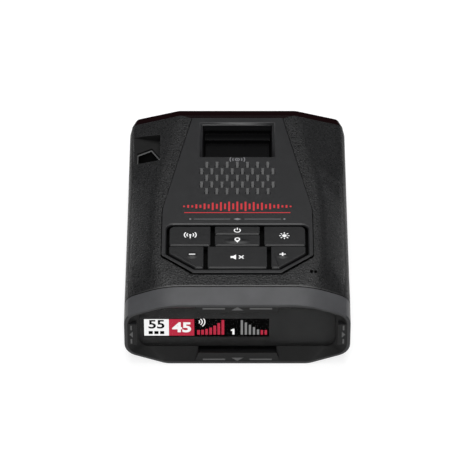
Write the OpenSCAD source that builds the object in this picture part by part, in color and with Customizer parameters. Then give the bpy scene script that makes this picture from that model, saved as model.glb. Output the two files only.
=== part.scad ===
// Radar detector with a raised control panel, seven sprung keys, a smoked
// display window and an infrared window at the windshield end.
// Millimetres. Origin at the centre of the underside, +Z up, display end at -Y.

/* [Case] */
// Overall width across the sides
case_w = 86.4; // [85:0.1:88]
// Overall length from the display end to the windshield end
case_l = 119; // [118:0.1:120]
// Overall height over the raised control panel
case_h = 32.5; // [32.3:0.1:33]
// Wall thickness of the moulded shells
wall = 1.8; // [1.7:0.1:1.9]
// Height of the seam between the top cover and the bottom shell
seam_z = 17; // [16.9:0.1:17.2]
// Drop of the sloping shoulder, measured at shoulder_x
shoulder_drop = 3.9; // [3.7:0.1:4.2]
// Distance from the centre line where the shoulder drop is measured
shoulder_x = 38.4; // [38:0.1:38.8]
// Radius of the four long corners
corner_r = 6; // [5.5:0.1:6.5]
// Length of the display bezel along the case
bezel_l = 9.1; // [8.9:0.1:9.3]
// Length of the infrared window along the case
ir_l = 4; // [3.9:0.1:4.1]
// Fall of the bezel's top band from its back edge to its front edge
band_drop = 1.9; // [1.8:0.1:2.1]
// Gap between neighbouring outside mouldings
seam_gap = 0.15; // [0.1:0.05:0.2]
// Gap between the bezel and the cover behind it
bezel_gap = 0.45; // [0.35:0.05:0.5]
// Bevel of the cover's and the shell's edge next to the bezel
front_lip = 0.3; // [0.25:0.05:0.35]
// Step down from the cover to the bezel's top band
band_step = 0.3; // [0.2:0.05:0.35]

/* [Control panel] */
// Height of the panel above the cover beside the keys
panel_proud = 0.9; // [0.8:0.1:1]
// Rise of the cover's top from the display end to the windshield end
top_rise = 0.6; // [0.5:0.1:0.7]
// Half width of the panel beside the keys
panel_hw = 29.3; // [29.2:0.1:29.4]
// Half width of the panel at its windshield edge
panel_top_hw = 18.2; // [18:0.1:18.4]
// Opening of the magnetic mount's dock, across the case
dock_w = 28.2; // [28:0.1:28.4]
// Opening of the magnetic mount's dock, along the case
dock_l = 21; // [20.8:0.1:21.2]
// Depth of the dock below the top of the panel
dock_depth = 7.2; // [7:0.1:7.4]

/* [Speaker grille] */
// Width of one sound slot
slot_w = 1.7; // [1.4:0.1:1.9]
// Length of one sound slot
slot_l = 3.9; // [3.6:0.1:4]
// Spacing of the slots across the case
slot_pitch_x = 4.02; // [3.9:0.01:4.1]
// Spacing of the slot rows along the case
slot_pitch_y = 4.22; // [4.2:0.01:4.3]

/* [Keys] */
// How far every key travels when it is pressed
key_travel = 0.6; // [0.4:0.1:0.7]
// Height of a key's cap
key_cap_h = 2.1; // [2:0.1:2.2]
// Clearance between a key's stem and its guide
stem_gap = 0.25; // [0.2:0.05:0.3]

/* [Sockets] */
// Radius of the earphone plug's bore
audio_bore_r = 1.8; // [1.75:0.01:1.85]
// Depth of the earphone plug's bore
audio_bore_l = 13.5; // [12:0.5:14]
// Width of the modular power plug's socket
plug_w = 9.8; // [9.7:0.1:9.9]
// Height of the modular power plug's socket
plug_h = 6.8; // [6.7:0.1:6.9]

/* [Hidden] */
$fn = 48;

// ---- heights and stations along the case ----
half_w = case_w / 2;
end_y = case_l / 2;
plateau_z = case_h - panel_proud;          // flat top of the cover
bezel_y = -end_y + bezel_l;                // back edge of the bezel
ir_y = end_y - ir_l;                       // front edge of the infrared window
roof_z = plateau_z - wall;                 // underside of the cover's flat top
floor_hw = 27.3;                           // half width of the flat underside
slice_t = 0.01;                            // thickness of a slice in a hull
eps = 0.02;                                // overlap that keeps cuts clean
end_in = 0.6;                              // how far the sides come in at the infrared window
front_crown_r = 36;                        // radius between the flat top and the shoulders, at the
crown_r = 8;                               // display end and along the case
// Stations from the display end to the windshield end: half width of the cover's flat top there,
// radius of the upper corners, how far the sides come in, radius between the flat top and the shoulders
plateau = [[bezel_y + front_lip, 28, corner_r, 0, front_crown_r], [-45, 30.8, corner_r, 0, 18],
    [-33, 33, corner_r, 0, crown_r], [-8, 33, corner_r, 0, crown_r], [5, 32.6, corner_r, 0, crown_r],
    [18, 31, corner_r, 0, crown_r], [30, 28.2, 4.5, 0, crown_r], [ir_y - 3.5, 24.9, 3.3, 0, crown_r],
    [ir_y, 23.8, 3, end_in, crown_r]];
floor_r = 10;                              // radius between the flat underside and its slopes
ir_hw = 23.5;                              // half width of the infrared window's flat top
ir_narrow = 2;                             // how far its sides come in at its end
ir_r = 2.5;                                // radius of its upper corners
ir_edge = 0.5;                             // bevel round its end
ir_sink = 0.05;                            // how far its tongue's top lies below the cover's top
tongue = [[18.7, -1.3], [21.4, 0]];        // its tongue towards the panel: half widths, and where

// ---- control panel places ----
panel_y1 = ir_y - 1.5;                     // windshield edge of the panel
panel_hollow = [[-16.6, 2], [16.6, 52.6]]; // hollow behind the dock and the grille: corners
panel_skin = 0.6;                          // thickness left above that hollow's roof
panel_bend_y = -5;                         // where the sides turn parallel
panel_diag_y = -33.1;                      // start of the cut corners
panel_y0 = -43.6;                          // display edge of the panel
panel_y0_hw = 17.1;                        // half width of that edge
panel_t = 2.7;                             // thickness of the panel's top plate
panel_flange = 1.2;                        // how far its flange reaches under the cover
flange_t = 1.1;
flange_gap = 0.3;
panel_under = case_h - panel_t;
dock_y = 39.5;                             // centre of the dock along the case
dock_ledge_l = 4;                          // shallow ledge at the dock's windshield side
dock_ledge_depth = 5.2;
dock_wall = 1.5;
dock_chamfer = 0.9;
dock_draft = 1.3;                          // how far each side wall leans in over the dock's depth
grille_y = 14.8;                           // middle row of the grille
grille_rows = [for (i = [-2:2]) i];
slot_ramp = [1.2, 1.5];                    // a slot's ramp: width and fall

// ---- key well and keys ----
well_hw = 27.3;
well_y1 = -14.4;
well_y0 = -41.5;
well_diag = [[27.3, -32.4], [16.5, -41.5]];
key_top = case_h - 0.3;
cap_z = key_top - key_cap_h;
cap_play = 0.3;                            // left under a cap when its key is pressed
web_top = cap_z - key_travel - cap_play;   // plate at the bottom of the well that guides the stems
web_t = 1.2;
clip_gap = 0.2;                            // play between a key's clip and the web
clip_t = 1.2;
clip_reach = 0.7;
clip_z = web_top - web_t - clip_gap - clip_t;
key_hw = 26.3;                             // outer edge of the outer keys
upper_gap = [8.75, 10.35];                 // gap either side of the middle keys, upper row
lower_gap = [11.45, 12.95];                // the same, lower row
row_y = [-15.3, -27.05, -27.55, -40.6];    // far and near edges of the two rows
split_y = [-20.15, -20.6];                 // between the power and mark keys
key_diag = [[26.3, -32], [16.2, -40.6]];   // cut corner of the volume keys
key_r = 0.5;
key_bevel = 0.4;                           // bevel round the top of a cap
pad_h = 0.28;                              // height of the raised finger pads
pad_slope = 0.9;                           // width of a pad's sloping edge
volume_pad = [17.4, -33, 2.5];             // pads of the volume keys: centre and radius
mark_pad = [3.6, -24.3, 2.1];              // ends of the mark key's long pad, and their radius
outer_key_r = 2.3;
// Each key: cap outline, corner radii, centre of its stem, size of its stem
upper_mid = (key_hw + upper_gap[1]) / 2;
lower_mid = 18.1;
volume_stem_y = -32.2;
key_caps = [
    [[[-key_hw, row_y[0]], [-key_hw, row_y[1]], [-upper_gap[1], row_y[1]], [-upper_gap[1], row_y[0]]],
        [outer_key_r, key_r, key_r, key_r], [-upper_mid, -21.2], [10, 6]],
    [[[-upper_gap[0], row_y[0]], [-upper_gap[0], split_y[0]], [upper_gap[0], split_y[0]],
        [upper_gap[0], row_y[0]]], [key_r, key_r, key_r, key_r], [0, -17.5], [10, 2]],
    [[[-upper_gap[0], split_y[1]], [-upper_gap[0], row_y[1]], [upper_gap[0], row_y[1]],
        [upper_gap[0], split_y[1]]], [key_r, key_r, key_r, key_r], [0, -23.7], [10, 2.6]],
    [[[upper_gap[1], row_y[0]], [upper_gap[1], row_y[1]], [key_hw, row_y[1]], [key_hw, row_y[0]]],
        [key_r, key_r, key_r, outer_key_r], [upper_mid, -21.2], [10, 6]],
    [[[-key_hw, row_y[2]], [-key_diag[0].x, key_diag[0].y], [-key_diag[1].x, key_diag[1].y],
        [-lower_gap[1], row_y[3]], [-lower_gap[1], row_y[2]]],
        [key_r, key_r, key_r, key_r, key_r], [-lower_mid, volume_stem_y], [6, 5]],
    [[[-lower_gap[0], row_y[2]], [-lower_gap[0], row_y[3]], [lower_gap[0], row_y[3]],
        [lower_gap[0], row_y[2]]], [key_r, key_r, key_r, key_r], [0, -34.1], [14, 6]],
    [[[lower_gap[1], row_y[2]], [lower_gap[1], row_y[3]], [key_diag[1].x, key_diag[1].y],
        [key_diag[0].x, key_diag[0].y], [key_hw, row_y[2]]],
        [key_r, key_r, key_r, key_r, key_r], [lower_mid, volume_stem_y], [6, 5]]];
dome_r = [1.9, 1.1];
dome_gap = 0.03;
sheet_z = 24.4;
sheet_t = 0.8;
key_board_z = 22.9;
board_t = 1.6;
contact_t = 0.2;
key_field = [52, 26.4, -27.9];             // keypad sheet: across, along, centre

// ---- display end ----
face_y = -end_y;                           // front plane of the bezel
face_top = plateau_z - band_drop;          // top of the front plane
front_edge = 0.35;                         // bevel round the front plane
band_hw = [28, 27];                        // half width of the bezel's flat top, back and front
rim_t = 1.1;                               // thickness of the rim at the front plane
rim_fall = 5.2;                            // fall of the rim's upper edge towards the sides
window_y = face_y + 3.3;                   // front of the smoked window
window_t = 1.5;
opening = [[-37.6, 6.3], [37.6, 25]];      // opening in front of the window: corners
opening_r = 4;
window_lap = 1.6;                          // how far the window reaches behind the opening
block_w = [33, 30];                        // arrow block: across at its root and its tip
block_z = [5.4, 25.6];                     // tips of the bottom and top blocks
block_t = 2.4;                             // how deep the blocks are
scoop = [30, 1.2, 3.5];                    // scoop behind the bottom block: width, front, bottom
side_block = [38.4, 9.6, 19.6];            // side blocks: inner edge, bottom, top
screen = [[-35.8, 10.2], [11.9, 18.5]];    // lit area: left bottom and right top corner
dash = [4.7, 13.2, 0.75];                  // dashes beside an arrow: start, end, thickness
arrow = [2.3, 1.7];                        // arrow: half width, height
mark_in = 2.15;                            // marks' distance from the rim
mark_gap = 0.2;                            // how far the blocks and the marks lie behind the face
side_mark_x = 40.5;
side_dash = [2.2, 4.5, 0.6];
side_arrow = [0.6, 0.7, 1.5];              // its root, its tip, its half height
guide_t = 2;                               // depth of a light guide behind its marks
guide_bar = [14, 2.2];                     // level bars: half length, thickness
side_bar = [1.8, 4.7];                     // side bars: thickness, half length

// ---- sockets, notch and holes ----
notch_x = -30.8;                           // inner wall of the finger notch above the power plug
notch_y = [28, 48];
notch = [[-half_w - 1, 30.6], [notch_x, 28], [notch_x, 45], [-half_w - 1, 48]];
notch_z = 27.2;                            // floor of the notch
liner = 1.3;                               // wall of the notch
latch_step = 0.8;                          // how far the latch hole's step lies below the floor
latch_rim = [[-40, 30.4], [-30.9, 28.6], [-30.9, 34.7], [-34.2, 40.6], [-40, 37.1]];
latch_edge = 0.1;                          // ledge between the step and the hole's bevel
latch_bevel = 0.35;
latch_well = [[-40.6, 28.8], [-30.4, 41.4]];
jack_size = [14.5, 13.4, 10.5];
jack_at = [-33.9, 39, 12.05];
jack_bevel = 3.6;                          // bevel that clears the shell's lower corner
jack_slot = [31.5, 6];                     // slot for the plug's latch: near edge and width
plug_at = [39, 12.2];                      // the socket's centre: along the case, height
plug_depth = 11;
pin_pitch = 1.02;
pin = [0.29, 0.4, 5];
usb_y = 19.5;
usb_size = [5.8, 7.6, 2.7];
usb_slot = [6.9, 1.85];
usb_tongue = [4, 3.6, 0.4];
port_z = 12.9;
audio_y = 38;
audio_size = [14.5, 7, 5.2];
audio_z = 11.7;
mic_at = [[28.4, -41.9], [30, -41.9]];
mic_size = [1, 1.5];

// ---- inside ----
pcb_z = 14.5;
pcb_hw = 38.5;
pcb_y = [-49.5, 52];
pcb_slot = [-26.3, 30];                    // corner cut away for the power jack: inner and near edges
screw_x = 33;
screw_y = [-36, 50.8];
boss_r = 2.6;
screw_r = 1.1;
boss_z = 7;                                // lower end of the cover's bosses
post_z = 6.8;                              // upper end of the shell's posts
post_r = 3.6;
post_foot = 3.35;                          // lower end of the posts, inside the sloping wall
post_rib = 1.2;                            // rib between a post and the wall below it
head_r = 2;
head_t = 1.3;
head_z = 2.7;                              // seat of the screw head above the underside
label = [52, 30, 0.3];
label_y = -4;

// ---- helper functions ----
function unit(v) = v / norm(v);
// Points of an arc that rounds the corner b between a and c
function corner_arc(a, b, c, r, n) = let(
        u = unit(a - b), v = unit(c - b), half = acos(u * v) / 2,
        centre = b + unit(u + v) * r / sin(half), p = b + u * r / tan(half) - centre,
        q = b + v * r / tan(half) - centre, a0 = atan2(p.y, p.x),
        d = (atan2(q.y, q.x) - a0 + 540) % 360 - 180)
    [for (i = [0:n]) centre + r * [cos(a0 + d * i / n), sin(a0 + d * i / n)]];
// A polygon with each corner rounded to its own radius
function rounded(pts, radii, n = 6) = let(k = len(pts))
    [for (i = [0:k - 1])
        each radii[i] > 0
            ? corner_arc(pts[(i + k - 1) % k], pts[i], pts[(i + 1) % k], radii[i], n)
            : [pts[i]]];
function mirrored(pts) = [for (i = [len(pts) - 1:-1:0]) [-pts[i].x, pts[i].y]];
// Drop of a shoulder at a distance x from the centre line, for a flat of half width w
function shoulder_fall(w, x) = shoulder_drop * (x - w) / (shoulder_x - w);
// Height of the cover's flat top at station y
function top_at(y) = plateau_z + top_rise * (y - bezel_y) / (end_y - bezel_y);
// Cross-section of the case with a flat top of half width w at height top, moved in by inset all
// round and by narrow at the sides, with upper corners of radius r
function section(w, top, inset = 0, narrow = 0, r = corner_r, crown = front_crown_r) = let(
        hw = half_w - inset - narrow, rb = shoulder_fall(floor_hw, half_w - narrow),
        rt = shoulder_fall(w, half_w - narrow), lower = corner_r - inset, upper = r - inset,
        right = [[floor_hw, inset], [hw, rb + inset], [hw, top - rt - inset], [w, top - inset]])
    rounded(concat(right, mirrored(right)),
        [floor_r, lower, upper, crown, crown, upper, lower, floor_r], 5);
// The panel's outline, moved in by inset
function panel_outline(inset = 0) = let(
        right = [[panel_y0_hw - inset * 0.4, panel_y0 + inset],
            [panel_hw - inset, panel_diag_y + inset * 0.4],
            [panel_hw - inset, panel_bend_y], [panel_top_hw - inset, panel_y1 - inset]])
    rounded(concat(right, mirrored(right)), [1.2, 1.2, 30, 0.6, 0.6, 30, 1.2, 1.2], 6);
well_outline = let(right = [[well_diag[1].x, well_y0], well_diag[0], [well_hw, well_y1]])
    rounded(concat(right, mirrored(right)), [1, 1, 3, 3, 1, 1], 6);
// Places of the slots: odd and even rows hold 8 and 7 slots
slot_places = [for (r = grille_rows) let(n = r % 2 == 0 ? 7 : 8)
    for (i = [0:n - 1]) [(i - (n - 1) / 2) * slot_pitch_x, grille_y + r * slot_pitch_y]];

// ---- helper modules ----
// A box given by its centre across and along, and by its lower height
module box_on(at, size) {
    translate([at.x - size.x / 2, at.y - size.y / 2, at.z]) cube(size);
}
// A solid that runs along Y through outlines with the same number of points, each [y, outline]
module loft(stations) {
    n = len(stations[0][1]);
    last = (len(stations) - 1) * n;
    points = [for (s = stations) each [for (p = s[1]) [p.x, s[0], p.y]]];
    sides = [for (a = [0:n:last - n]) each [for (j = [0:n - 1]) let(k = (j + 1) % n)
        each [[a + j, a + k, a + n + k], [a + j, a + n + k, a + n + j]]]];
    polyhedron(points, concat([[for (j = [n - 1:-1:0]) j]], sides, [[for (j = [0:n - 1]) last + j]]));
}
// The case's outline at a station s of the plateau, moved in by inset
function case_outline(s, inset = 0) = section(s[1], top_at(s[0]), inset, s[3], s[2], s[4]);
// The solid case between the bezel and the infrared window
module case_solid() {
    loft(concat([[bezel_y, case_outline(plateau[0], front_lip)]],
        [for (s = plateau) [s[0], case_outline(s)]]));
}
// The hollow that runs through the case, longer than the case at both ends
module case_hollow() {
    first = plateau[0];
    last = plateau[len(plateau) - 1];
    loft(concat([[bezel_y - 1, case_outline(first, wall)]],
        [for (s = plateau) [s[0], case_outline(s, wall)]],
        [[last[0] + 1, case_outline(last, wall)]]));
}
// The tongue of the infrared window from z0 to z1, grown by grow in plan, and as far back as y1
module tongue_prism(grow, y1, z0, z1) {
    a = tongue[0];
    b = tongue[1];
    right = [[b.x + grow, y1], [b.x + grow, ir_y + b.y], [a.x + grow, ir_y + a.y - grow]];
    prism(concat(right, mirrored(right)), z0, z1);
}
// A vertical prism from z0 to z1
module prism(pts, z0, z1) {
    translate([0, 0, z0]) linear_extrude(z1 - z0) polygon(pts);
}
// A prism along Y from a front-view outline
module front_prism(pts, y0, y1) {
    translate([0, y1, 0]) rotate([90, 0, 0]) linear_extrude(y1 - y0) polygon(pts);
}

// ---- outside mouldings ----
module screw_bosses() {
    for (sx = [-1, 1], y = screw_y)
        translate([sx * screw_x, y, boss_z]) cylinder(r = boss_r, h = roof_z - boss_z - 0.2);
}

// Walls around the latch hole, down to the power jack
module latch_chimney() {
    size = latch_well[1] - latch_well[0];
    z0 = jack_at.z + jack_size.z / 2 + 0.2;
    difference() {
        translate([latch_well[0].x - 1, latch_well[0].y - 1, z0])
            cube([size.x + 2, size.y + 2, notch_z - z0]);
        translate([latch_well[0].x, latch_well[0].y, z0 - 1])
            cube([size.x, size.y, notch_z - liner - z0 + 1]);
    }
}

// The stepped hole above the power plug's latch, with a bevelled edge
module latch_opening() {
    step_z = notch_z - latch_step;
    prism(latch_rim, step_z, case_h);
    hull() {
        latch_slice(latch_edge, step_z, slice_t);
        latch_slice(latch_edge + latch_bevel, step_z - latch_bevel, slice_t);
    }
    latch_slice(latch_edge + latch_bevel, 0, step_z);
}
// The hole's outline moved in by inset, from height z
module latch_slice(inset, z, t) {
    translate([0, 0, z]) linear_extrude(t) offset(delta = -inset) polygon(latch_rim);
}

module top_cover() {
    liner_y = notch_y + [-liner, liner];
    color([0.12, 0.12, 0.12]) difference() {
        union() {
            difference() {
                case_solid();
                case_hollow();
            }
            intersection() {
                case_solid();
                union() {
                    screw_bosses();
                    translate([-half_w, liner_y[0], notch_z - liner])
                        cube([half_w + notch_x + liner, liner_y[1] - liner_y[0], 14]);
                    latch_chimney();
                }
            }
        }
        translate([-half_w - 1, -end_y, -1]) cube([case_w + 2, case_l, seam_z + 1]);
        prism(panel_outline(-seam_gap), 0, case_h + 1);
        tongue_prism(seam_gap, end_y, seam_z, case_h + 1);
        prism(notch, notch_z, case_h);
        latch_opening();
        for (m = mic_at) box_on([m.x, m.y, seam_z], [mic_size.x, mic_size.y, 20]);
        for (sx = [-1, 1], y = screw_y)
            translate([sx * screw_x, y, 0]) cylinder(r = screw_r, h = 24);
    }
    color([0.12, 0.12, 0.12]) difference() {
        for (sx = [-1, 1], y = screw_y)
            translate([sx * screw_x, y, boss_z]) cylinder(r = boss_r, h = seam_z - boss_z + eps);
        for (sx = [-1, 1], y = screw_y)
            translate([sx * screw_x, y, 0]) cylinder(r = screw_r, h = 24);
    }
}

module bottom_shell() {
    color([0.11, 0.11, 0.11]) difference() {
        union() {
            difference() {
                case_solid();
                case_hollow();
            }
            for (sx = [-1, 1], y = screw_y) translate([sx * screw_x, y, post_foot]) {
                cylinder(r = post_r, h = post_z - post_foot);
                translate([sx > 0 ? -post_r + 0.1 : 0, -boss_r, -post_rib])
                    cube([post_r - 0.1, 2 * boss_r, post_rib + 0.1]);
            }
        }
        translate([-half_w - 1, -end_y, seam_z - seam_gap]) cube([case_w + 2, case_l, 40]);
        for (sx = [-1, 1], y = screw_y) translate([sx * screw_x, y, -1]) {
            cylinder(r = screw_r + 0.2, h = post_z + 2);
            cylinder(r = head_r + 0.3, h = head_z + head_t + 1.02);
        }
        translate([-half_w - 1, plug_at.x - plug_w / 2 - 0.4, plug_at.y - plug_h / 2 - 0.4])
            cube([8, plug_w + 0.8, plug_h + 0.8]);
        box_on([-half_w, usb_y, port_z - usb_size.z / 2 - 0.4], [8, usb_size.y + 0.8, usb_size.z + 0.8]);
        translate([half_w - 4, audio_y, audio_z]) rotate([0, 90, 0]) cylinder(r = 3.2, h = 8);
        box_on([0, label_y, -1], [label.x + 0.6, label.y + 0.6, 1 + label.z]);
    }
}

// A sound slot: a round hole at its display end, reached by a ramp from its windshield end
module sound_slot(x, y) {
    hole_y = y - (slot_l - slot_w) / 2;
    translate([x, hole_y, 20]) cylinder(r = slot_w / 2, h = 20, $fn = 24);
    translate([x - slot_ramp[0] / 2, y + slot_l / 2, case_h]) rotate([90, 0, 90])
        linear_extrude(slot_ramp[0]) polygon([[0, 0.01], [-slot_l + slot_w / 2, 0.01],
            [-slot_l + slot_w / 2, -slot_ramp[1]]]);
}

module control_panel() {
    color([0.2, 0.2, 0.21]) difference() {
        union() {
            prism(panel_outline(), panel_under - eps, case_h);
            prism(panel_outline(-panel_flange), roof_z - flange_gap - flange_t, roof_z - flange_gap);
            prism(panel_outline(3), web_top - web_t, panel_under);
        }
        dock_pocket();
        hull() {
            box_on([0, dock_y, case_h - dock_chamfer], [dock_w, dock_l, 0.01]);
            box_on([0, dock_y, case_h + 0.1], [dock_w + 2 * dock_chamfer, dock_l + 2 * dock_chamfer, 0.01]);
        }
        prism(well_outline, web_top, case_h + 1);
        for (k = key_caps)
            box_on([k[2].x, k[2].y, 0], [k[3].x + 2 * stem_gap, k[3].y + 2 * stem_gap, case_h]);
        for (p = slot_places) sound_slot(p.x, p.y);
        translate([panel_hollow[0].x, panel_hollow[0].y, seam_z])
            cube([panel_hollow[1].x - panel_hollow[0].x, panel_hollow[1].y - panel_hollow[0].y,
                panel_under - panel_skin - seam_z]);
    }
}
// The room inside the dock, whose side walls lean in towards its floor
module dock_pocket() {
    hull() {
        box_on([0, dock_y, case_h - dock_depth], [dock_w - 2 * dock_draft, dock_l, 0.01]);
        box_on([0, dock_y, case_h], [dock_w, dock_l, 0.01]);
    }
}

module arrow_block(z0, z1) {
    front_prism([[-block_w[0] / 2, z0], [block_w[0] / 2, z0], [block_w[1] / 2, z1], [-block_w[1] / 2, z1]],
        face_y + mark_gap, face_y + mark_gap + block_t);
}
// Marks of a level arrow guide: two dashes and a triangle that points up (s = 1) or down (s = -1)
module level_marks(z, s, y0, y1) {
    for (m = [-1, 1]) translate([m > 0 ? dash[0] : -dash[1], y0, z - dash[2] / 2])
        cube([dash[1] - dash[0], y1 - y0, dash[2]]);
    root = z - s * arrow[1] / 2;
    front_prism([[-arrow[0], root], [arrow[0], root], [0, root + s * arrow[1]]], y0, y1);
}
// Marks of a side arrow guide: two upright dashes and a triangle that points outwards
module side_marks(s, y0, y1) {
    z = (side_block[1] + side_block[2]) / 2;
    for (m = [-1, 1]) translate([s * side_mark_x - side_dash[2] / 2, y0,
            z + (m > 0 ? side_dash[0] : -side_dash[1])])
        cube([side_dash[2], y1 - y0, side_dash[1] - side_dash[0]]);
    root = s * (side_mark_x - side_arrow[0]);
    front_prism([[root, z - side_arrow[2]], [root, z + side_arrow[2]],
        [s * (side_mark_x + side_arrow[1]), z]], y0, y1);
}

module front_bezel() {
    rim = half_w - rim_t;
    block_x = half_w - rim_t / 2;
    dish_crown = front_crown_r - 4;
    inner_top = face_top - rim_t;
    right = [[band_hw[1], rim_t], [rim, opening[0].y], [rim, inner_top - rim_fall],
        [band_hw[1], inner_top]];
    dish = rounded(concat(right, mirrored(right)), [8, 5, 5, dish_crown, dish_crown, 5, 5, 8], 4);
    hole = rounded([opening[0], [opening[1].x, opening[0].y], opening[1], [opening[0].x, opening[1].y]],
        [opening_r, opening_r, opening_r, opening_r], 4);
    color([0.27, 0.27, 0.28]) difference() {
        union() {
            difference() {
                loft([[face_y, section(band_hw[1], face_top, front_edge)],
                    [face_y + front_edge, section(band_hw[1], face_top)],
                    [bezel_y - bezel_gap, section(band_hw[0], plateau_z - band_step)]]);
                hull() {
                    front_prism(dish, face_y - 0.2, face_y - 0.1);
                    front_prism(hole, window_y - 0.1, window_y);
                }
                front_prism(hole, face_y, window_y + 0.5);
                // cavity behind the window
                front_prism(section(band_hw[1], face_top, wall), window_y, bezel_y + 1);
            }
            intersection() {
                union() {
                    arrow_block(rim_t / 2, block_z[0]);
                    arrow_block(face_top - rim_t / 2, block_z[1]);
                    for (s = [-1, 1])
                        translate([s > 0 ? side_block[0] : -block_x, face_y + mark_gap, side_block[1]])
                            cube([block_x - side_block[0], block_t, side_block[2] - side_block[1]]);
                }
                slice_block();
            }
        }
        level_marks(face_top - mark_in, 1, face_y - 1, face_y + 8);
        level_marks(mark_in, -1, face_y - 1, face_y + 8);
        for (s = [-1, 1]) side_marks(s, face_y - 1, face_y + 8);
        translate([-scoop[0] / 2, face_y + scoop[1], scoop[2]])
            cube([scoop[0], window_y - face_y - scoop[1], opening[0].y - scoop[2] + 0.4]);
        // seats of the light guides' bars
        guide_bar_top(0.1);
        guide_bar_bottom(0.1);
        for (s = [-1, 1]) guide_bar_side(s, 0.1);
    }
}
// Keeps the arrow blocks inside the bezel's outline
module slice_block() {
    front_prism(section(band_hw[1], face_top, rim_t / 2), face_y + mark_gap, face_y + 4);
}

guide_y = face_y + 1.2;                    // front of the bars behind the marks
module guide_bar_top(grow = 0) {
    translate([-guide_bar[0] - grow, guide_y, face_top - mark_in - guide_bar[1] / 2 - grow])
        cube([2 * (guide_bar[0] + grow), guide_t + grow, guide_bar[1] + grow]);
}
module guide_bar_bottom(grow = 0) {
    translate([-guide_bar[0] - grow, guide_y, mark_in - guide_bar[1] / 2])
        cube([2 * (guide_bar[0] + grow), guide_t + grow, guide_bar[1] + grow]);
}
module guide_bar_side(s, grow = 0) {
    z = (side_block[1] + side_block[2]) / 2;
    translate([s * side_mark_x - side_bar[0] / 2 - grow, guide_y, z - side_bar[1] - grow])
        cube([side_bar[0] + 2 * grow, guide_t + grow, 2 * (side_bar[1] + grow)]);
}

module arrow_guide_top() {
    color([0.55, 0.55, 0.54]) {
        level_marks(face_top - mark_in, 1, face_y + mark_gap, guide_y + eps);
        guide_bar_top();
    }
}
module arrow_guide_bottom() {
    color([0.55, 0.55, 0.54]) {
        level_marks(mark_in, -1, face_y + mark_gap, guide_y + eps);
        guide_bar_bottom();
    }
}
module arrow_guide_left() {
    color([0.55, 0.55, 0.54]) {
        side_marks(-1, face_y + mark_gap, guide_y + eps);
        guide_bar_side(-1);
    }
}
module arrow_guide_right() {
    color([0.55, 0.55, 0.54]) {
        side_marks(1, face_y + mark_gap, guide_y + eps);
        guide_bar_side(1);
    }
}

module display_window() {
    x = opening[1].x + window_lap;
    z0 = opening[0].y - window_lap;
    z1 = opening[1].y + window_lap;
    r = opening_r + window_lap;
    color([0.06, 0.06, 0.065, 0.6]) intersection() {
        front_prism(rounded([[-x, z0], [x, z0], [x, z1], [-x, z1]], [r, r, r, r], 6),
            window_y + 0.02, window_y + 0.02 + window_t);
        front_prism(section(band_hw[1], face_top, wall + 0.1), window_y, window_y + 2 * window_t);
    }
}

module ir_window() {
    color([0.16, 0.03, 0.04]) difference() {
        union() {
            loft([[ir_y + seam_gap, section(ir_hw, top_at(ir_y), 0, end_in, ir_r, crown_r)],
                [end_y - ir_edge, section(ir_hw, top_at(end_y), 0, ir_narrow, ir_r, crown_r)],
                [end_y, section(ir_hw, top_at(end_y), ir_edge, ir_narrow, ir_r, crown_r)]]);
            tongue_prism(0, ir_y + wall, top_at(ir_y) - wall, top_at(ir_y) - ir_sink);
        }
        front_prism(section(ir_hw, top_at(end_y), wall, ir_narrow, ir_r, crown_r), ir_y - 2, end_y - 2.4);
    }
}

// ---- keys ----
module key(i) {
    k = key_caps[i];
    color([0.15, 0.15, 0.155]) union() {
        hull() {
            prism(rounded(k[0], k[1], 5), cap_z, key_top - key_bevel);
            translate([0, 0, key_top - 0.01]) linear_extrude(0.01) offset(delta = -key_bevel)
                polygon(rounded(k[0], k[1], 5));
        }
        box_on([k[2].x, k[2].y, clip_z + eps], [k[3].x, k[3].y, cap_z - clip_z]);
        box_on([k[2].x, k[2].y, clip_z], [k[3].x + 2 * clip_reach, k[3].y, clip_t]);
    }
}
// A low round finger pad on top of a key
module finger_pad(x, y, r) {
    translate([x, y, key_top - eps]) cylinder(r1 = r, r2 = r - pad_slope, h = pad_h + eps, $fn = 32);
}
module key_dome(i) {
    k = key_caps[i];
    color([0.7, 0.72, 0.72]) translate([k[2].x, k[2].y, sheet_z + sheet_t])
        cylinder(r1 = dome_r[0], r2 = dome_r[1], h = clip_z - dome_gap - sheet_z - sheet_t);
}
module key_sensitivity() { key(0); }
module key_power() { key(1); }
module key_mark() {
    key(2);
    color([0.15, 0.15, 0.155]) hull() for (s = [-1, 1]) finger_pad(s * mark_pad.x, mark_pad.y, mark_pad.z);
}
module key_brightness() { key(3); }
module key_volume_down() {
    key(4);
    color([0.15, 0.15, 0.155]) finger_pad(-volume_pad.x, volume_pad.y, volume_pad.z);
}
module key_mute() { key(5); }
module key_volume_up() {
    key(6);
    color([0.15, 0.15, 0.155]) finger_pad(volume_pad.x, volume_pad.y, volume_pad.z);
}
module dome_sensitivity() { key_dome(0); }
module dome_power() { key_dome(1); }
module dome_mark() { key_dome(2); }
module dome_brightness() { key_dome(3); }
module dome_volume_down() { key_dome(4); }
module dome_mute() { key_dome(5); }
module dome_volume_up() { key_dome(6); }
module keypad_sheet() {
    color([0.6, 0.62, 0.62]) box_on([0, key_field.z, sheet_z], [key_field.x, key_field.y, sheet_t]);
}
module key_board() {
    color([0.05, 0.3, 0.15]) box_on([0, key_field.z, key_board_z],
        [key_field.x, key_field.y, sheet_z - key_board_z - contact_t]);
}
module key_contacts() {
    color([0.75, 0.6, 0.25]) for (k = key_caps)
        translate([k[2].x, k[2].y, sheet_z - contact_t]) cylinder(r = 1.5, h = contact_t);
}

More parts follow.
